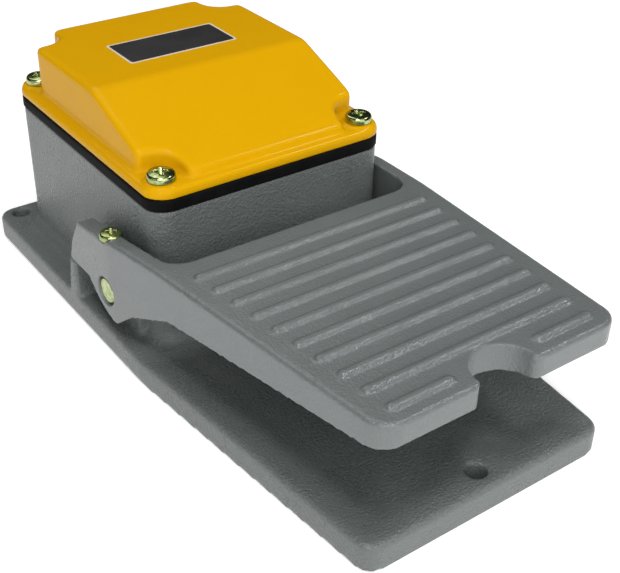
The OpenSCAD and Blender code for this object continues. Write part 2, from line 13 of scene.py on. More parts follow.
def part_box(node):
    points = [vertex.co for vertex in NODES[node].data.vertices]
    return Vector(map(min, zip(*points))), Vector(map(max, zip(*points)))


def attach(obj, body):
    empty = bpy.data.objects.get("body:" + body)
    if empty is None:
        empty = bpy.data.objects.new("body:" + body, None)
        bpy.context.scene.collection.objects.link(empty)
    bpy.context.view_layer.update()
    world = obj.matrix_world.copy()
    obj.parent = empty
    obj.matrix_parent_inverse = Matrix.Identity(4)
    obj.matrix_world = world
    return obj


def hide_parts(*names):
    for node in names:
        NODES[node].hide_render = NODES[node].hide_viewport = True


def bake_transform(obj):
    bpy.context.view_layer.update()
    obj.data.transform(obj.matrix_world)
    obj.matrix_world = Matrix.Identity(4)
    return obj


bl_info = {
    "name": "Cast Foot Switch",
    "version": (1, 0, 0),
    "blender": (4, 5, 0),
    "location": "3D View > Sidebar > Foot Switch",
    "description": "Finishes the castings, gasket, screws and mechanism of a foot switch",
    "category": "Object",
}

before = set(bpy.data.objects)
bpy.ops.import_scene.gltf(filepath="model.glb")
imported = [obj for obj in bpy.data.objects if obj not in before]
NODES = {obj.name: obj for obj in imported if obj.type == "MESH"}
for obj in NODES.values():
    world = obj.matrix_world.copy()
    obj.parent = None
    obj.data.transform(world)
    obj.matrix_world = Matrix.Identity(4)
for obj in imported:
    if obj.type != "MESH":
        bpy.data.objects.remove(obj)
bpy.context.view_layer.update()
BASE, TREADLE = "base", "treadle"
MM = 0.001


# ---------------------------------------------------------------- sizes and colours

def length(name, description, default, low, high):
    """A length property, with its default and its range in millimetres."""
    return FloatProperty(
        name=name, description=description, default=default * MM, min=low * MM, max=high * MM,
        unit="LENGTH", precision=5)


class CastingSettings(PropertyGroup):
    base_voxel: length("Base Grain", "Voxel that the base casting is skinned with", 0.75, 0.4, 2)
    treadle_voxel: length("Treadle Grain", "Voxel that the treadle is skinned with", 0.5, 0.4, 2)
    cover_voxel: length(
        "Cover Grain", "Voxel that the cover and the gasket are skinned with", 0.6, 0.4, 2)
    softness: IntProperty(
        name="Edge Softness", description="Smoothing passes that round the base's cast edges",
        default=7, min=0, max=30)
    fine_softness: IntProperty(
        name="Fine Softness", description="Smoothing passes of the treadle, cover and gasket",
        default=3, min=0, max=30)
    bore_gap: length(
        "Bore Gap", "Dark gap between the arms' bores and the pivot shaft", 0.5, 0, 1)


class FloorSettings(PropertyGroup):
    plate: length("Plate", "Thickness of the base plate", 10, 4, 14)
    front_width: FloatProperty(
        name="Front Width", description="Share of its full width that the plate has at the front",
        default=0.8176, min=0.5, max=1)
    taper: FloatProperty(
        name="Taper", description="Share of the length over which the plate widens",
        default=0.48, min=0.1, max=1)
    hole_inset: length("Hole Inset", "Distance of the front hole from the front end", 8, 4, 20)
    dish: length("Dish", "Depth of the dished floor below the plate's rim", 1.8, 0, 2)
    softness: IntProperty(
        name="Floor Softness", description="Smoothing passes of the dished floor",
        default=12, min=0, max=100)


class CoverSettings(PropertyGroup):
    flange: length("Flange", "Thickness of the cover's flange", 3.8, 2, 6)
    flange_corner: length("Flange Corner", "Corner radius of the flange", 8.3, 2, 20)
    flange_edge: length("Flange Edge", "Rounding of the flange's upper edge", 1.8, 0.2, 3)
    ledge: length("Ledge", "Width of the ledge round the dome", 3.3, 1, 8)
    wall: length("Wall", "Thickness of the dome's wall", 3.2, 1, 5)
    screw_head: length("Screw Head", "Radius of the heads in the solid", 4.8, 2, 8)
    notch: length("Notch Radius", "Radius of the notch round each screw", 9.2, 6, 12)
    edge: length("Edge Radius", "Rounding of the dome's upper edges", 1.9, 0.2, 4)
    fillet: length("Fillet", "Fillet between the dome and its ledge", 1.4, 0.2, 3)
    slope: FloatProperty(
        name="Slope", description="Angle of the sloping front",
        default=math.radians(20), min=math.radians(5), max=math.radians(30), subtype="ANGLE")
    label_room: length(
        "Label Room", "Height kept free for the nameplate under the solid's top", 0.1, 0, 1)
    flat: length("Flat Length", "Length of the flat top behind the slope", 59.8, 20, 90)
    bend: length("Bend", "Half the length over which the flat top turns into the slope", 2, 0.5, 6)


class NameplateSettings(PropertyGroup):
    width: length("Width", "Length of the nameplate across the cover", 45.5, 10, 80)
    depth: length("Depth", "Length of the nameplate from front to rear", 20.3, 5, 40)
    border: length("Border", "Width of the pale border", 0.9, 0, 4)
    thickness: length("Thickness", "Thickness of the plate, mostly sunk in the roof", 0.3, 0.1, 1)
    corner: length("Corner", "Corner radius of the nameplate", 0.8, 0.1, 3)
    place: FloatProperty(
        name="Place", description="Place of its middle, as a share of the cover's length",
        default=0.637, min=0, max=1)


class FinishSettings(PropertyGroup):
    housing_grey: FloatVectorProperty(
        name="Housing Grey", description="Enamel of the base casting", subtype="COLOR",
        default=(0.118, 0.132, 0.128), min=0, max=1)
    treadle_grey: FloatVectorProperty(
        name="Treadle Grey", description="Enamel of the treadle", subtype="COLOR",
        default=(0.140, 0.155, 0.153), min=0, max=1)
    cover_yellow: FloatVectorProperty(
        name="Cover Yellow", description="Enamel of the cover", subtype="COLOR",
        default=(0.655, 0.340, 0.002), min=0, max=1)
    zinc: FloatVectorProperty(
        name="Plated Zinc", description="Passivated zinc of screws and shaft", subtype="COLOR",
        default=(0.50, 0.56, 0.26), min=0, max=1)


class StudioSettings(PropertyGroup):
    light: FloatProperty(
        name="Light", description="Brightness of all the studio lights together",
        default=1, min=0, max=10)
    light_size: FloatProperty(
        name="Light Size", description="Side of each square studio light",
        default=0.7, min=0.05, max=2, subtype="DISTANCE", unit="LENGTH")
    light_distance: FloatProperty(
        name="Light Distance", description="Distance of the lights from the object",
        default=1.1, min=0.5, max=5, subtype="DISTANCE", unit="LENGTH")
    paper_glow: FloatProperty(
        name="Paper Glow", description="Light that the back-lit paper floor gives off",
        default=0.35, min=0, max=2)
    sky: FloatProperty(
        name="Sky", description="Strength of the even light all round", default=0.02, min=0, max=4)


GROUPS = {
    "footswitch_castings": CastingSettings,
    "footswitch_floor": FloorSettings,
    "footswitch_cover": CoverSettings,
    "footswitch_nameplate": NameplateSettings,
    "footswitch_finish": FinishSettings,
    "footswitch_studio": StudioSettings,
}


# ---------------------------------------------------------------- shader groups

class NodeBuilder:
    """Adds and joins nodes in a material, a shader group or a geometry tree."""

    def __init__(self, tree):
        self.tree = tree

    def add(self, kind, sockets=None, **attributes):
        node = self.tree.nodes.new(kind)
        for key, value in attributes.items():
            setattr(node, key, value)
        for key, value in (sockets or {}).items():
            if isinstance(value, bpy.types.NodeSocket):
                self.tree.links.new(value, node.inputs[key])
            else:
                node.inputs[key].default_value = value
        return node

    def link(self, output, node, key):
        self.tree.links.new(output, node.inputs[key])

    def math(self, operation, a, b=0.0, clamp=False):
        node = self.add("ShaderNodeMath", {0: a, 1: b}, operation=operation, use_clamp=clamp)
        return node.outputs[0]

    def noise(self, coordinates, scale, detail=2.0, roughness=0.5):
        node = self.add("ShaderNodeTexNoise", {
            "Vector": coordinates, "Scale": scale, "Detail": detail, "Roughness": roughness})
        return node.outputs[0]

    def remap(self, value, low, high, to_low=0.0, to_high=1.0):
        node = self.add("ShaderNodeMapRange", {
            "Value": value, "From Min": low, "From Max": high, "To Min": to_low, "To Max": to_high})
        return node.outputs[0]


SURFACE_OUTPUTS = (
    ("Colour", "NodeSocketColor"), ("Roughness", "NodeSocketFloat"), ("Height", "NodeSocketFloat"))


def surface_group(name, inputs):
    """An empty shader group that gives colour, roughness and height, and what builds it."""
    group = bpy.data.node_groups.new(name, "ShaderNodeTree")
    for label, kind, default in inputs:
        socket = group.interface.new_socket(label, in_out="INPUT", socket_type=kind)
        socket.default_value = default
    for label, kind in SURFACE_OUTPUTS:
        group.interface.new_socket(label, in_out="OUTPUT", socket_type=kind)
    build = NodeBuilder(group)
    return group, build, build.add("NodeGroupInput").outputs, build.add("NodeGroupOutput")


def cast_enamel_group():
    """Enamel over a sand casting: fine hammered grain, broad unevenness, and mottled colour."""
    group, build, given, out = surface_group("Cast Enamel", [
        ("Colour", "NodeSocketColor", (0.2, 0.2, 0.2, 1)),
        ("Grain Scale", "NodeSocketFloat", 900.0),
        ("Grain Depth", "NodeSocketFloat", 0.5),
        ("Mottle", "NodeSocketFloat", 0.1),
        ("Roughness", "NodeSocketFloat", 0.4)])
    place = build.add("ShaderNodeTexCoord").outputs["Object"]
    grain = build.noise(place, given["Grain Scale"], 2.0, 0.55)
    speck = build.noise(place, build.math("MULTIPLY", given["Grain Scale"], 2.3), 1.0, 0.5)
    broad = build.noise(place, 55.0, 3.0, 0.6)
    fine = build.math("MULTIPLY", build.math("ADD", grain, build.math("MULTIPLY", speck, 0.4)),
                      given["Grain Depth"])
    height = build.math("ADD", fine, build.math("MULTIPLY", broad, 0.25))
    patch = build.math("ADD", build.math("MULTIPLY", broad, 0.6),
                       build.math("MULTIPLY", grain, 0.4))
    centred = build.math("SUBTRACT", patch, 0.5)
    shade = build.math("ADD", build.math("MULTIPLY", centred, given["Mottle"]), 1.0)
    tint = build.add("ShaderNodeVectorMath", {0: given["Colour"]}, operation="SCALE")
    build.link(shade, tint, "Scale")
    build.link(tint.outputs[0], out, "Colour")
    rough = build.math("ADD", given["Roughness"], build.math("MULTIPLY", centred, 0.35),
                       clamp=True)
    build.link(rough, out, "Roughness")
    build.link(height, out, "Height")
    return group


def metal_surface_group():
    """Turned and plated metal: patchy tint, fine scratches and uneven polish."""
    group, build, given, out = surface_group("Metal Surface", [
        ("Colour", "NodeSocketColor", (0.6, 0.6, 0.6, 1)),
        ("Tarnish", "NodeSocketColor", (0.4, 0.4, 0.4, 1)),
        ("Patch Scale", "NodeSocketFloat", 300.0),
        ("Roughness", "NodeSocketFloat", 0.25)])
    place = build.add("ShaderNodeTexCoord").outputs["Object"]
    patch = build.noise(place, given["Patch Scale"], 3.0, 0.6)
    mask = build.remap(patch, 0.38, 0.66)
    mix = build.add("ShaderNodeMix", {0: mask, 6: given["Colour"], 7: given["Tarnish"]},
                    data_type="RGBA")
    streak_place = build.add("ShaderNodeMapping", {"Vector": place, "Scale": (1.0, 0.12, 1.0)})
    streak = build.noise(streak_place.outputs[0], 2600.0, 2.0, 0.6)
    build.link(mix.outputs[2], out, "Colour")
    rough = build.math("ADD", given["Roughness"], build.math("MULTIPLY", streak, 0.16))
    build.link(rough, out, "Roughness")
    build.link(streak, out, "Height")
    return group


def moulded_group():
    """Moulded rubber or plastic: dull bloom in patches over a fine matt grain."""
    group, build, given, out = surface_group("Moulded Surface", [
        ("Colour", "NodeSocketColor", (0.05, 0.05, 0.05, 1)),
        ("Bloom", "NodeSocketColor", (0.09, 0.09, 0.09, 1)),
        ("Grain Scale", "NodeSocketFloat", 1800.0),
        ("Roughness", "NodeSocketFloat", 0.6)])
    place = build.add("ShaderNodeTexCoord").outputs["Object"]
    cloud = build.noise(place, 130.0, 4.0, 0.6)
    mix = build.add("ShaderNodeMix", {0: build.remap(cloud, 0.4, 0.75), 6: given["Colour"],
                                      7: given["Bloom"]}, data_type="RGBA")
    grain = build.noise(place, given["Grain Scale"], 2.0, 0.5)
    build.link(mix.outputs[2], out, "Colour")
    rough = build.math("ADD", given["Roughness"], build.math("MULTIPLY", cloud, 0.15))
    build.link(rough, out, "Roughness")
    build.link(grain, out, "Height")
    return group


def finished_material(name, group, values, bump_mm=0.05, bump=0.4, **shader):
    """A Principled material whose colour, roughness and bump come from a shader group."""
    material = bpy.data.materials.new(name)
    material.use_nodes = True
    build = NodeBuilder(material.node_tree)
    bsdf = material.node_tree.nodes["Principled BSDF"]
    surface = build.add("ShaderNodeGroup")
    surface.node_tree = group
    for key, value in values.items():
        surface.inputs[key].default_value = (*value, 1.0) if isinstance(value, tuple) else value
    build.link(surface.outputs["Colour"], bsdf, "Base Color")
    build.link(surface.outputs["Roughness"], bsdf, "Roughness")
    relief = build.add("ShaderNodeBump", {"Strength": bump, "Distance": bump_mm * MM,
                                          "Height": surface.outputs["Height"]})
    build.link(relief.outputs["Normal"], bsdf, "Normal")
    for key, value in shader.items():
        bsdf.inputs[key.replace("_", " ")].default_value = value
    material.diffuse_color = (*values["Colour"], 1.0)
    return material


def make_materials(finish):
    """One material for each finish on the object, by name."""
    enamel, metal, moulded = cast_enamel_group(), metal_surface_group(), moulded_group()
    made = {}

    def enamelled(name, colour, scale, depth, mottle, rough, bump_mm, **shader):
        made[name] = finished_material(name, enamel, {
            "Colour": tuple(colour), "Grain Scale": scale, "Grain Depth": depth, "Mottle": mottle,
            "Roughness": rough}, bump_mm=bump_mm, bump=1.0, **shader)

    def plated(name, colour, tarnish, scale, rough):
        made[name] = finished_material(name, metal, {
            "Colour": tuple(colour), "Tarnish": tarnish, "Patch Scale": scale,
            "Roughness": rough}, bump_mm=0.01, bump=0.3, Metallic=1.0)

    def pressed(name, colour, bloom, scale, rough, **shader):
        made[name] = finished_material(name, moulded, {
            "Colour": colour, "Bloom": bloom, "Grain Scale": scale, "Roughness": rough},
            bump_mm=0.04, bump=0.5, **shader)

    enamelled("housing_enamel", finish.housing_grey,
              scale=1000.0, depth=1.0, mottle=0.5, rough=0.30, bump_mm=0.50)
    enamelled("treadle_enamel", finish.treadle_grey,
              scale=1050.0, depth=0.8, mottle=0.3, rough=0.17, bump_mm=0.34)
    enamelled("cover_enamel", finish.cover_yellow,
              scale=700.0, depth=0.35, mottle=0.06, rough=0.14, bump_mm=0.14,
              Specular_IOR_Level=0.05)
    plated("plated_zinc", finish.zinc, (0.22, 0.30, 0.10), scale=420.0, rough=0.12)
    plated("bright_steel", (0.60, 0.61, 0.62), (0.45, 0.45, 0.46), scale=240.0, rough=0.24)
    plated("sintered_bronze", (0.62, 0.42, 0.22), (0.42, 0.27, 0.14), scale=500.0, rough=0.38)
    plated("terminal_brass", (0.80, 0.60, 0.26), (0.60, 0.42, 0.18), scale=300.0, rough=0.22)
    pressed("gasket_rubber", (0.003, 0.003, 0.003), (0.006, 0.006, 0.006),
            scale=1500.0, rough=0.60, Specular_IOR_Level=0.08)
    pressed("switch_phenolic", (0.030, 0.022, 0.018), (0.055, 0.042, 0.034),
            scale=2200.0, rough=0.38)
    pressed("fibre_sheet", (0.52, 0.42, 0.20), (0.62, 0.52, 0.28), scale=1200.0, rough=0.70)
    pressed("red_plunger", (0.42, 0.02, 0.015), (0.50, 0.05, 0.03), scale=1600.0, rough=0.30)
    pressed("plate_black", (0.012, 0.011, 0.011), (0.022, 0.020, 0.019), scale=1400.0, rough=0.40)
    pressed("plate_border", (0.66, 0.58, 0.46), (0.72, 0.66, 0.56), scale=1400.0, rough=0.40)
    return made


MATERIALS = {}


def finish_of(name):
    """A material by name; all of them are made when the first one is asked for."""
    if not MATERIALS:
        MATERIALS.update(make_materials(bpy.context.scene.footswitch_finish))
    return MATERIALS[name]


# ---------------------------------------------------------------- mesh helpers

def new_object(name, mesh):
    piece = bpy.data.objects.new(name, mesh)
    bpy.context.scene.collection.objects.link(piece)
    return piece


def discard(piece):
    """Deletes a helper object with its mesh."""
    mesh = piece.data
    bpy.data.objects.remove(piece)
    bpy.data.meshes.remove(mesh)


def mesh_of(shape, name):
    """A mesh from a finished bmesh, which is freed."""
    mesh = bpy.data.meshes.new(name)
    shape.to_mesh(mesh)
    shape.free()
    return mesh


def applied(piece):
    """Turns the evaluated piece into a plain mesh and drops its modifiers."""
    graph = bpy.context.evaluated_depsgraph_get()
    graph.update()
    mesh = bpy.data.meshes.new_from_object(piece.evaluated_get(graph))
    piece.modifiers.clear()
    old = piece.data
    piece.data = mesh
    mesh.name = piece.name
    bpy.data.meshes.remove(old)


def smooth_shaded(mesh):
    """Shades a mesh without facets."""
    mesh.polygons.foreach_set("use_smooth", [True] * len(mesh.polygons))
    mesh.update()


def painted(piece, material):
    """Gives a piece one finish in place of its materials."""
    piece.data.materials.clear()
    piece.data.materials.append(finish_of(material))


def dress(piece, material, body, slot, *replaced):
    """Gives a new piece its material and its body, and hides the solids it stands for. The slot is
    not used.
    """
    painted(piece, material)
    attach(piece, body)
    if replaced:
        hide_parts(*replaced)


def joined_copy(name, node):
    """A copy of a solid's mesh with its loose triangles joined."""
    mesh = NODES[node].data.copy()
    shell = bmesh.new()
    shell.from_mesh(mesh)
    bmesh.ops.remove_doubles(shell, verts=shell.verts, dist=0.002 * MM)
    shell.to_mesh(mesh)
    shell.free()
    return new_object(name, mesh)


def cut_away(piece, cutter):
    """Cuts one closed mesh out of another."""
    cut = piece.modifiers.new("Cut", "BOOLEAN")
    cut.operation = "DIFFERENCE"
    cut.object = cutter
    applied(piece)
    discard(cutter)
    return piece


KEPT_FACES = 0.2  # share of a skin's faces that is left when it is thinned


def cast_skin(piece, voxel, passes, shaped=None, ease_passes=0):
    """Turns a closed shape into one skin with the soft edges and fillets of a sand casting.
    shaped takes a place and gives its new height and a weight; those places are eased further."""
    skin = piece.modifiers.new("Skin", "REMESH")
    skin.mode = "VOXEL"
    skin.voxel_size = voxel
    skin.use_smooth_shade = True
    soften = piece.modifiers.new("Soften", "SMOOTH")
    soften.factor = 0.5
    soften.iterations = passes
    if shaped:
        applied(piece)
        soft_zone = piece.vertex_groups.new(name="Soft Zone")
        for vert in piece.data.vertices:
            height, weight = shaped(vert.co)
            if weight > 0:
                vert.co.z += (height - vert.co.z) * weight
                soft_zone.add((vert.index,), weight, "REPLACE")
        ease = piece.modifiers.new("Ease", "SMOOTH")
        ease.factor = 0.5
        ease.iterations = ease_passes
        ease.vertex_group = soft_zone.name
    thin = piece.modifiers.new("Thin", "DECIMATE")
    thin.ratio = KEPT_FACES
    weigh = piece.modifiers.new("Weigh", "WEIGHTED_NORMAL")
    weigh.mode = "FACE_AREA"
    weigh.weight = 50
    applied(piece)
    piece.vertex_groups.clear()
    smooth_shaded(piece.data)
    return piece


def share_of(value, low, high):
    """Goes straight from 0 at low to 1 at high."""
    return min(max((value - low) / (high - low), 0.0), 1.0)


def ramp(value, low, high):
    """Goes smoothly from 0 at low to 1 at high."""
    share = share_of(value, low, high)
    return share * share * (3 - 2 * share)


def all_ramps(distances, limits):
    """Product of the ramps over several distances; the limits are in millimetres."""
    return math.prod(ramp(distances[key], low * MM, high * MM)
                     for key, (low, high) in limits.items())


def quarter_turn(step):
    """Angles from 0 to a right angle, in radians."""
    return [math.radians(degrees) for degrees in range(0, 91, step)]


def rounded_box(low, high, radius, steps=16):
    """Outline of a rectangle with round corners, anticlockwise from the right side's front."""
    points = []
    left, right, front, rear = low.x + radius, high.x - radius, low.y + radius, high.y - radius
    for turn, x, y in ((-90, right, front), (0, right, rear), (90, left, rear), (180, left, front)):
        for i in range(steps + 1):
            a = math.radians(turn + 90 * i / steps)
            points.append(Vector((x + radius * math.cos(a), y + radius * math.sin(a))))
    return points


def closed_loft(outline, levels, inner=()):
    """Closed mesh through copies of an outline. A level is (outward offset, height), where the
    height is a number or a function of the place. inner holds more places for the upper end."""
    count = len(outline)
    normals = []
    for i in range(count):
        along = outline[(i + 1) % count] - outline[i - 1]
        normals.append(Vector((along.y, -along.x)).normalized())
    shape = bmesh.new()

    def corner(place, height):
        return shape.verts.new((*place, height(place) if callable(height) else height))

    rings = [[corner(point + normal * offset, height) for point, normal in zip(outline, normals)]
             for offset, height in levels]
    for lower, upper in zip(rings, rings[1:]):
        for i in range(count):
            j = (i + 1) % count
            shape.faces.new((lower[i], lower[j], upper[j], upper[i]))
    ends = ((rings[0], (), levels[0][1], -1), (rings[-1], inner, levels[-1][1], 1))
    for ring, extra, height, order in ends:
        flat = [vert.co.xy for vert in ring] + list(extra)
        places, _, faces, sources, _, _ = geometry.delaunay_2d_cdt(
            flat, [], [list(range(count))], 1, 1e-8)
        verts = []
        for place, source in zip(places, sources):
            known = [i for i in source if i < count]
            verts.append(ring[known[0]] if known else corner(place, height))
        for face in faces:
            shape.faces.new([verts[i] for i in face][::order])
    return shape


def evenly_spaced(corners, step):
    """Points at even steps along a closed outline."""
    points = []
    for start, end in zip(corners, corners[1:] + corners[:1]):
        parts = max(1, round((end - start).length / step))
        points += [start.lerp(end, i / parts) for i in range(parts)]
    return points


def softened(points, passes):
    """Rounds the corners of a closed outline."""
    for _ in range(passes):
        points = [points[i] * 0.5 + (points[i - 1] + points[(i + 1) % len(points)]) * 0.25
                  for i in range(len(points))]
    return points


def revolved(name, profile, steps=48):
    """Turns a list of (radius, height) points round Z into a closed mesh."""
    shape = bmesh.new()
    rings = []
    for radius, height in profile:
        turns = [2 * math.pi * i / steps for i in range(steps if radius else 1)]
        rings.append([shape.verts.new((radius * math.cos(a), radius * math.sin(a), height))
                      for a in turns])
    for lower, upper in zip(rings, rings[1:]):
        for i in range(steps):
            j = (i + 1) % steps
            corners = [lower[i % len(lower)], lower[j % len(lower)],
                       upper[j % len(upper)], upper[i % len(upper)]]
            shape.faces.new(list(dict.fromkeys(corners)))
    bmesh.ops.recalc_face_normals(shape, faces=shape.faces)
    return mesh_of(shape, name)


def cross_cutter(width, span, depth, top):
    """Cross that cuts a screw's driving recess; its arms taper downwards."""
    shape = bmesh.new()
    for turn in (0.0, math.pi / 2):
        arm = bmesh.ops.create_cube(shape, size=1.0)["verts"]
        for vert in arm:
            along, across, height = ((0.42, 0.75, top - depth) if vert.co.z < 0 else
                                     (1.0, 1.0, top + depth * 0.3))
            vert.co = Vector((vert.co.x * span * along, vert.co.y * width * across, height))
        bmesh.ops.rotate(shape, verts=arm, cent=(0, 0, 0), matrix=Matrix.Rotation(turn, 3, "Z"))
    return mesh_of(shape, "Cross Cutter")


def pan_head_screw(name, head_r, head_h, shank_r, shank_len):
    """Pan head screw with a cross recess; its head is seated at the origin."""
    shoulder = [(head_r * (0.80 + 0.20 * math.cos(a)), head_h * (0.42 + 0.46 * math.sin(a)))
                for a in quarter_turn(15)]
    profile = [(0, -shank_len), (shank_r * 0.8, -shank_len), (shank_r, -shank_len + 0.6 * MM),
               (shank_r, 0), (head_r * 0.96, 0), (head_r, 0.06 * head_h)]
    profile += shoulder + [(head_r * 0.45, head_h * 0.97), (0, head_h)]
    piece = new_object(name, revolved(name, profile))
    cutter = new_object("Cutter", cross_cutter(head_r * 0.30, head_r * 1.25, head_h * 0.62, head_h))
    recess = piece.modifiers.new("Recess", "BOOLEAN")
    recess.operation = "DIFFERENCE"
    recess.use_self = True
    recess.object = cutter
    edges = piece.modifiers.new("Edges", "BEVEL")
    edges.width = 0.09 * MM
    edges.segments = 2
    edges.angle_limit = math.radians(35)
    applied(piece)
    discard(cutter)
    smooth_shaded(piece.data)
    return piece


# ---------------------------------------------------------------- geometry trees

def repeat_tree(name):
    """Puts a part on every point, each turned by chance about its own axis, as one plain mesh."""
    tree = bpy.data.node_groups.new(name, "GeometryNodeTree")
    face = tree.interface
    face.new_socket("Points", in_out="INPUT", socket_type="NodeSocketGeometry")
    part = face.new_socket("Part", in_out="INPUT", socket_type="NodeSocketObject")
    finish = face.new_socket("Finish", in_out="INPUT", socket_type="NodeSocketMaterial")
    seed = face.new_socket("Seed", in_out="INPUT", socket_type="NodeSocketInt")
    seed.default_value = 3
    face.new_socket("Mesh", in_out="OUTPUT", socket_type="NodeSocketGeometry")
    build = NodeBuilder(tree)
    given = build.add("NodeGroupInput").outputs
    out = build.add("NodeGroupOutput")
    source = build.add("GeometryNodeObjectInfo", {"Object": given["Part"]})
    turn = build.add("FunctionNodeRandomValue", {"Seed": given["Seed"]}, data_type="FLOAT")
    for socket in turn.inputs:
        if socket.name == "Max" and socket.type == "VALUE":
            socket.default_value = math.pi / 2
    angle = next(o for o in turn.outputs if o.type == "VALUE" and o.enabled)
    spin = build.add("ShaderNodeCombineXYZ", {"Z": angle})
    place = build.add("GeometryNodeInstanceOnPoints", {
        "Points": given["Points"], "Instance": source.outputs["Geometry"],
        "Rotation": spin.outputs[0]})
    real = build.add("GeometryNodeRealizeInstances", {"Geometry": place.outputs["Instances"]})
    paint = build.add("GeometryNodeSetMaterial", {
        "Geometry": real.outputs["Geometry"], "Material": given["Finish"]})
    build.link(paint.outputs["Geometry"], out, "Mesh")
    return tree, {"part": part.identifier, "finish": finish.identifier, "seed": seed.identifier}


REPEAT = {}


def repeated(name, part, points, material, seed):
    """One mesh with the part at every point."""
    if not REPEAT:
        REPEAT["tree"], REPEAT["sockets"] = repeat_tree("Repeat Part")
    mesh = bpy.data.meshes.new(name)
    mesh.from_pydata(points, [], [])
    piece = new_object(name, mesh)
    modifier = piece.modifiers.new("Repeat", "NODES")
    modifier.node_group = REPEAT["tree"]
    for key, value in (("part", part), ("finish", finish_of(material)), ("seed", seed)):
        modifier[REPEAT["sockets"][key]] = value
    applied(piece)
    discard(part)
    return piece


# ---------------------------------------------------------------- operators

# Distances in mm over which the floor's dish sets in, from the plate's edge, from the front hole's
# middle and from the housing's wall: how deep it is, and how far a place is part of it
DISH_DEPTH = {"edge": (2, 18), "hole": (6, 20), "wall": (1, 10)}
DISH_ZONE = {"edge": (1.5, 4), "hole": (4.2, 5.5), "wall": (3, 6)}


class FOOTSWITCH_OT_base(Operator):
    """Skin the base casting with its plate, housing walls and bosses"""
    bl_idname = "footswitch.base"
    bl_label = "Base Casting"

    def execute(self, context):
        castings = context.scene.footswitch_castings
        floor = context.scene.footswitch_floor
        low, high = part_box("base_casting")
        kink = low.y + floor.taper * (high.y - low.y)
        housing_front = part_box("gasket")[0].y
        lowest, highest = floor.plate - 3.2 * MM, floor.plate + 0.3 * MM

        def dished(place):
            """Height of the floor under the treadle, and how far a place belongs to it."""
            if not lowest < place.z < highest or place.y > housing_front - 2 * MM:
                return place.z, 0.0
            widening = (1 - floor.front_width) * share_of(place.y, low.y, kink)
            half_width = high.x * (floor.front_width + widening)
            distances = {
                "edge": min(half_width - abs(place.x), place.y - low.y),
                "hole": math.hypot(place.x, place.y - low.y - floor.hole_inset),
                "wall": housing_front - place.y}
            depth = floor.dish * all_ramps(distances, DISH_DEPTH)
            return floor.plate - depth, all_ramps(distances, DISH_ZONE)

        skin = cast_skin(joined_copy("base_skin", "base_casting"), castings.base_voxel,
                         castings.softness, dished, floor.softness)
        dress(skin, "housing_enamel", BASE, "grey_enamel", "base_casting")
        return {"FINISHED"}


class FOOTSWITCH_OT_treadle(Operator):
    """Skin the ribbed treadle and its arms, with bores that clear the pivot shaft"""
    bl_idname = "footswitch.treadle"
    bl_label = "Treadle"

    def execute(self, context):
        castings = context.scene.footswitch_castings
        low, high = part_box("pivot_shaft")
        middle = (low + high) / 2
        radius = (high.z - low.z) / 2 + castings.bore_gap
        reach = (high.x - low.x) / 2 + 5 * MM
        bore = revolved("bore", [(0, -reach), (radius, -reach), (radius, reach), (0, reach)],
                        steps=64)
        bore.transform(Matrix.Translation(middle) @ Matrix.Rotation(math.pi / 2, 4, "Y"))
        treadle = cut_away(joined_copy("treadle_skin", "pedal"), new_object("bore", bore))
        cast_skin(treadle, castings.treadle_voxel, castings.fine_softness)
        dress(treadle, "treadle_enamel", TREADLE, "grey_enamel_fine", "pedal")
        return {"FINISHED"}


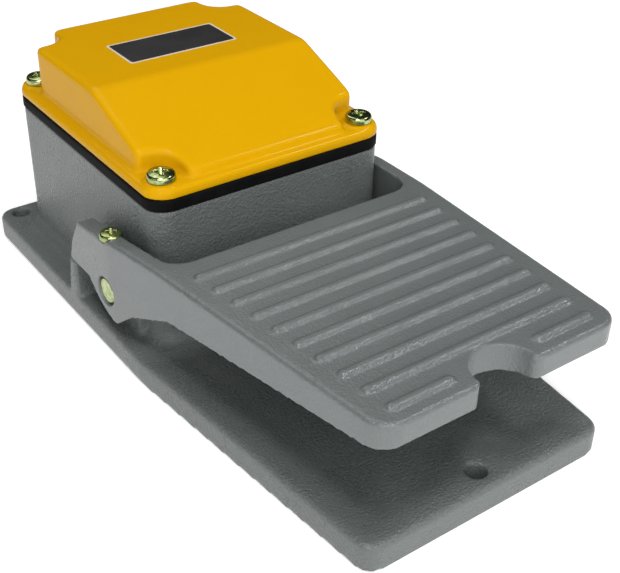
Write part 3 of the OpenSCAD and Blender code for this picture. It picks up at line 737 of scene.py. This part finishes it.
class CoverShape:
    """The cover's outlines, heights and parts, from its settings and the boxes of its solids."""

    sunk = 1 * MM          # how far its parts reach into each other
    notch_steps = 20       # edges along each notch
    outline_step = 0.7 * MM
    outline_passes = 36    # smoothing passes of the dome's outline
    pad_profile = ((0, 0), (6.0, 0), (6.0, 1.1), (5.5, 1.6), (0, 1.6))  # radius and height in mm

    def __init__(self, cover):
        self.cover = cover
        self.low, self.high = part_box("cover")
        screws_low, screws_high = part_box("cover_screws")
        self.screw_x = screws_high.x - cover.screw_head
        self.screw_y = (screws_low.y + cover.screw_head, screws_high.y - cover.screw_head)
        self.ledge_z = self.low.z + cover.flange
        self.crease = self.high.y - cover.ledge - cover.flat
        self.across_crease = [Vector((x * 6 * MM, self.crease + k * cover.bend / 4))
                              for x in range(-6, 7) for k in range(-4, 5)]

    def roof(self, place):
        """Height of the roof: flat at the rear, eased over the crease, sloping at the front."""
        bend = self.cover.bend
        ahead = self.crease - place.y
        if abs(ahead) < bend:
            fall = (ahead + bend) ** 2 / (4 * bend)
        else:
            fall = max(ahead, 0.0)
        return self.high.z - self.cover.label_room - fall * math.tan(self.cover.slope)

    def shrink(self, place):
        """Shrinks the roundings where the dome's wall is low."""
        return min(1.0, (self.roof(place) - self.ledge_z) / (self.cover.edge + self.cover.fillet))

    def outline(self, inset):
        """The dome's rectangle with a round notch at each screw, its corners softened."""
        margin = self.cover.ledge + inset
        side_x = self.high.x - margin
        side_y = (self.low.y + margin, self.high.y - margin)
        radius = self.cover.notch + inset
        corners = []
        for sx, end in ((1, 0), (1, 1), (-1, 1), (-1, 0)):
            centre = Vector((sx * self.screw_x, self.screw_y[end]))
            sy = 1 if end else -1
            first = math.acos((side_x - self.screw_x) / radius)
            last = math.pi * 1.5 - math.acos((side_y[end] - centre.y) * sy / radius)
            turns = [first + (last - first) * i / self.notch_steps
                     for i in range(self.notch_steps + 1)]
            arc = [centre + Vector((sx * math.cos(a), -sy * math.sin(a))) * radius for a in turns]
            corners += arc if sx * sy > 0 else arc[::-1]
        return softened(evenly_spaced(corners, self.outline_step), self.outline_passes)

    def cavity(self):
        """The dome's inside, which also goes through the flange."""
        wall = self.cover.wall
        shape = closed_loft(self.outline(wall), [
            (0, self.low.z - self.sunk), (0, lambda place: self.roof(place) - wall)],
            self.across_crease)
        return new_object("cavity", mesh_of(shape, "cavity"))

    def dome(self):
        """Hollow dome with a fillet at its foot and rounded upper edges."""
        fillet, edge = self.cover.fillet, self.cover.edge
        levels = [(fillet, self.ledge_z - self.sunk)]
        for t in quarter_turn(18):
            levels.append((
                fillet * (1 - math.sin(t)),
                lambda p, t=t: self.ledge_z + self.shrink(p) * fillet * (1 - math.cos(t))))
        for t in quarter_turn(15):
            levels.append((
                -edge * (1 - math.cos(t)),
                lambda p, t=t: self.roof(p) - self.shrink(p) * edge * (1 - math.sin(t))))
        shape = closed_loft(self.outline(0), levels, self.across_crease)
        return cut_away(new_object("dome", mesh_of(shape, "dome")), self.cavity())

    def flange(self):
        """Open plate round the dome, with a rounded upper edge."""
        rim = rounded_box(self.low, self.high, self.cover.flange_corner)
        edge = self.cover.flange_edge
        levels = [(0, self.low.z)] + [
            (-edge * (1 - math.cos(t)), self.ledge_z - edge * (1 - math.sin(t)))
            for t in quarter_turn(15)]
        return cut_away(new_object("flange", mesh_of(closed_loft(rim, levels), "flange")),
                        self.cavity())

    def pads(self):
        """Low round pads under the screws' heads."""
        profile = [(radius * MM, height * MM) for radius, height in self.pad_profile]
        for sx in (-1, 1):
            for y in self.screw_y:
                pad = revolved("pad", profile)
                pad.transform(Matrix.Translation(
                    (sx * self.screw_x, y, self.ledge_z - self.sunk)))
                yield pad


class FOOTSWITCH_OT_cover(Operator):
    """Build the domed cover and skin the gasket under it"""
    bl_idname = "footswitch.cover"
    bl_label = "Cover and Gasket"

    def execute(self, context):
        castings = context.scene.footswitch_castings
        shape = CoverShape(context.scene.footswitch_cover)
        whole = bmesh.new()
        for part in (shape.dome(), shape.flange()):
            whole.from_mesh(part.data)
            discard(part)
        for pad in shape.pads():
            whole.from_mesh(pad)
            bpy.data.meshes.remove(pad)
        skin = cast_skin(new_object("cover_skin", mesh_of(whole, "cover_skin")),
                         castings.cover_voxel, castings.fine_softness)
        dress(skin, "cover_enamel", BASE, "yellow_enamel", "cover")
        seal = cast_skin(joined_copy("gasket_skin", "gasket"), castings.cover_voxel,
                         castings.fine_softness)
        dress(seal, "gasket_rubber", BASE, "black_rubber", "gasket")
        return {"FINISHED"}


class FOOTSWITCH_OT_nameplate(Operator):
    """Lay the bare nameplate with its pale border on top of the cover"""
    bl_idname = "footswitch.nameplate"
    bl_label = "Bare Nameplate"

    def execute(self, context):
        plate = context.scene.footswitch_nameplate
        low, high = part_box("cover")
        roof = high.z - context.scene.footswitch_cover.label_room
        y = low.y + plate.place * (high.y - low.y)
        for name, material, slot, inset, proud in (
                ("nameplate_border", "plate_border", "steel", 0.0, 0.04 * MM),
                ("nameplate_field", "plate_black", "phenolic", plate.border, 0.09 * MM)):
            size = (plate.width - 2 * inset, plate.depth - 2 * inset, plate.thickness)
            shape = bmesh.new()
            bmesh.ops.create_cube(shape, size=1.0)
            bmesh.ops.scale(shape, verts=shape.verts, vec=size)
            uprights = [edge for edge in shape.edges
                        if abs(edge.verts[0].co.z - edge.verts[1].co.z) > plate.thickness / 2]
            bmesh.ops.bevel(shape, geom=uprights, offset=plate.corner, segments=4, profile=0.5,
                            affect="EDGES")
            bmesh.ops.translate(shape, verts=shape.verts,
                                vec=(0, y, roof + proud - plate.thickness / 2))
            dress(new_object(name, mesh_of(shape, name)), material, BASE, slot)
        return {"FINISHED"}


# Each set of screws: piece, solid, body, then the head's radius and height and the shank's radius
# in mm, and the seed that turns the recesses
SCREW_SETS = (
    ("cover_screw_set", "cover_screws", BASE, 5.0, 3.1, 2.45, 4),
    ("arm_screw_set", "arm_clamp_screws", TREADLE, 4.1, 2.6, 1.95, 7),
)


class FOOTSWITCH_OT_screws(Operator):
    """Model the plated pan head screws of the cover and of the treadle's arms"""
    bl_idname = "footswitch.screws"
    bl_label = "Screws"

    def execute(self, context):
        for name, node, body, *sizes, seed in SCREW_SETS:
            head_r, head_h, shank_r = (size * MM for size in sizes)
            low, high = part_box(node)
            seat = high.z - head_h
            screw = pan_head_screw("pan_head", head_r, head_h, shank_r, seat - low.z)
            xs = (low.x + head_r, high.x - head_r)
            ys = (low.y + head_r, high.y - head_r)
            if ys[1] - ys[0] < head_r:
                ys = [(low.y + high.y) / 2]
            places = [(x, y, seat) for x in xs for y in ys]
            dress(repeated(name, screw, places, "plated_zinc", seed),
                  "plated_zinc", body, "zinc_plate", node)
        return {"FINISHED"}


MECHANISM_FINISH = {
    "pivot_shaft": "plated_zinc",
    "shaft_bushes": "sintered_bronze",
    "actuator_cam": "bright_steel",
    "cam_set_screw": "bright_steel",
    "switch_bracket": "bright_steel",
    "bracket_screws": "plated_zinc",
    "insulation_sheet": "fibre_sheet",
    "switch_body": "switch_phenolic",
    "switch_plunger": "red_plunger",
    "switch_lever": "bright_steel",
    "lever_pin": "bright_steel",
    "switch_terminals": "terminal_brass",
    "terminal_screws": "plated_zinc",
    "switch_screws": "bright_steel",
    "switch_nuts": "bright_steel",
    "earth_screw": "plated_zinc",
    "earth_washer": "terminal_brass",
}


class FOOTSWITCH_OT_spring(Operator):
    """Copy the torsion spring between the housing floor and the cam as a smooth steel coil, in place
    of its solid
    """
    bl_idname = "footswitch.spring"
    bl_label = "Return Spring"

    def execute(self, context):
        coil = joined_copy("return_spring_coil", "return_spring")
        smooth_shaded(coil.data)
        painted(coil, "bright_steel")
        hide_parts("return_spring")
        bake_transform(coil)
        return {"FINISHED"}


class FOOTSWITCH_OT_mechanism(Operator):
    """Finish the shaft, the cam and the switch inside the housing"""
    bl_idname = "footswitch.mechanism"
    bl_label = "Mechanism"

    def execute(self, context):
        for node, material in MECHANISM_FINISH.items():
            for slot in NODES[node].material_slots:
                slot.material = finish_of(material)
        return {"FINISHED"}


# Lights round the object: power in watts, size as a share of the usual light's, degrees from the
# rear towards the right, degrees up
SOFT_LIGHTS = (
    ("light_rear", 2.9, 1.0, 0, 55),
    ("light_right", 2.7, 0.30, 112, 54),
    ("light_front", 3.2, 1.0, 180, 18),
    ("light_front_high", 1.8, 1.0, 180, 50),
    ("light_front_left", 4.6, 1.0, -140, 30),
    ("light_over_shoulder", 4.0, 0.3, -140, 66),
    ("light_left", 0.8, 1.0, -90, 18),
)


AIM = Vector((0, 0, 0.03))  # the place that the lamps face


def soft_light(studio, name, power, share, turn, height):
    """One of the soft lights, turned towards the object."""
    turn, height = math.radians(turn), math.radians(height)
    away = Vector((math.sin(turn) * math.cos(height), math.cos(turn) * math.cos(height),
                   math.sin(height)))
    data = bpy.data.lights.new(name, "AREA")
    data.energy = power * studio.light
    data.size = studio.light_size * share
    lamp = bpy.data.objects.new(name, data)
    lamp.location = AIM + away * studio.light_distance
    lamp.rotation_euler = (-away).to_track_quat("-Z", "Y").to_euler()
    bpy.context.scene.collection.objects.link(lamp)


class FOOTSWITCH_OT_stage(Operator):
    """Set the pale floor, the soft lights and the camera"""
    bl_idname = "footswitch.stage"
    bl_label = "Studio"

    def execute(self, context):
        scene = context.scene
        studio = scene.footswitch_studio
        self.floor(studio)
        self.lights(scene, studio)
        self.camera(scene)
        return {"FINISHED"}

    def floor(self, studio):
        """Paper floor that glows evenly, with its glow faded out under the plate as painted shade."""
        reach = 4.0
        # Half sizes of the painted shade's rectangle under the plate, and the width of its soft edge
        shade_x, shade_y, blur = 44 * MM, 116 * MM, 6 * MM
        mesh = bpy.data.meshes.new("floor")
        corners = ((-reach, -reach, 0), (reach, -reach, 0), (reach, reach, 0), (-reach, reach, 0))
        mesh.from_pydata(corners, [], [(0, 1, 2, 3)])
        floor = new_object("floor", mesh)
        paper = bpy.data.materials.new("floor_paper")
        paper.use_nodes = True
        bsdf = paper.node_tree.nodes["Principled BSDF"]
        for key, value in (("Base Color", (0.93, 0.93, 0.93, 1)), ("Roughness", 0.9),
                           ("Specular IOR Level", 0.1), ("Emission Color", (1, 1, 1, 1))):
            bsdf.inputs[key].default_value = value
        build = NodeBuilder(paper.node_tree)
        place = build.add("ShaderNodeTexCoord").outputs["Object"]
        across, along, _ = build.add("ShaderNodeSeparateXYZ", {0: place}).outputs
        # Painted shade: the glow fades to nothing over blur inside a rectangle under the plate,
        # darkening the floor under and through the part
        beyond = build.math(
            "MAXIMUM",
            build.math("SUBTRACT", build.math("ABSOLUTE", across), shade_x),
            build.math("SUBTRACT", build.math("ABSOLUTE", along), shade_y))
        glow = build.remap(beyond, 0.0, blur, 0.0, studio.paper_glow)
        build.link(glow, bsdf, "Emission Strength")
        mesh.materials.append(paper)

    def lights(self, scene, studio):
        world = bpy.data.worlds.new("Studio")
        world.use_nodes = True
        sky = world.node_tree.nodes["Background"]
        sky.inputs["Color"].default_value = (1, 1, 1, 1)
        sky.inputs["Strength"].default_value = studio.sky
        scene.world = world
        for light in SOFT_LIGHTS:
            soft_light(studio, *light)
        scene.view_settings.view_transform = "Standard"

    def camera(self, scene):
        place = Vector((-0.1927, -0.2837, 0.2447))
        turn, drop, roll = math.radians(-36.53), math.radians(33.66), math.radians(1.43)
        ahead = Vector((-math.sin(turn) * math.cos(drop), math.cos(turn) * math.cos(drop),
                        -math.sin(drop)))
        level = ahead.cross(Vector((0, 0, 1))).normalized()
        upward = level.cross(ahead)
        right = level * math.cos(roll) + upward * math.sin(roll)
        up = upward * math.cos(roll) - level * math.sin(roll)
        data = bpy.data.cameras.new("camera")
        data.sensor_width = 36.0
        data.lens = 64.13
        data.clip_start = 0.01
        camera = bpy.data.objects.new("camera", data)
        turned = Matrix((right, up, -ahead)).transposed().to_4x4()
        camera.matrix_world = Matrix.Translation(place) @ turned
        scene.collection.objects.link(camera)
        scene.camera = camera


STEPS = (FOOTSWITCH_OT_stage, FOOTSWITCH_OT_base, FOOTSWITCH_OT_treadle, FOOTSWITCH_OT_cover,
         FOOTSWITCH_OT_nameplate, FOOTSWITCH_OT_screws, FOOTSWITCH_OT_spring,
         FOOTSWITCH_OT_mechanism)


class FOOTSWITCH_PT_panel(Panel):
    """Sizes, colours and steps of the foot switch"""
    bl_label = "Foot Switch"
    bl_idname = "FOOTSWITCH_PT_panel"
    bl_space_type = "VIEW_3D"
    bl_region_type = "UI"
    bl_category = "Foot Switch"

    def draw(self, context):
        for group in GROUPS:
            settings = getattr(context.scene, group)
            box = self.layout.box()
            for key in settings.bl_rna.properties.keys():
                if key not in ("rna_type", "name"):
                    box.prop(settings, key)
        for step in STEPS:
            self.layout.operator(step.bl_idname)


# ---------------------------------------------------------------- registration

def register():
    for cls in (*GROUPS.values(), *STEPS, FOOTSWITCH_PT_panel):
        bpy.utils.register_class(cls)
    for name, cls in GROUPS.items():
        setattr(bpy.types.Scene, name, PointerProperty(type=cls))


def unregister():
    for name in GROUPS:
        delattr(bpy.types.Scene, name)
    for cls in reversed((*GROUPS.values(), *STEPS, FOOTSWITCH_PT_panel)):
        bpy.utils.unregister_class(cls)


def main():
    register()
    for step in STEPS:
        family, action = step.bl_idname.split(".")
        getattr(getattr(bpy.ops, family), action)()


if __name__ == "__main__":
    main()
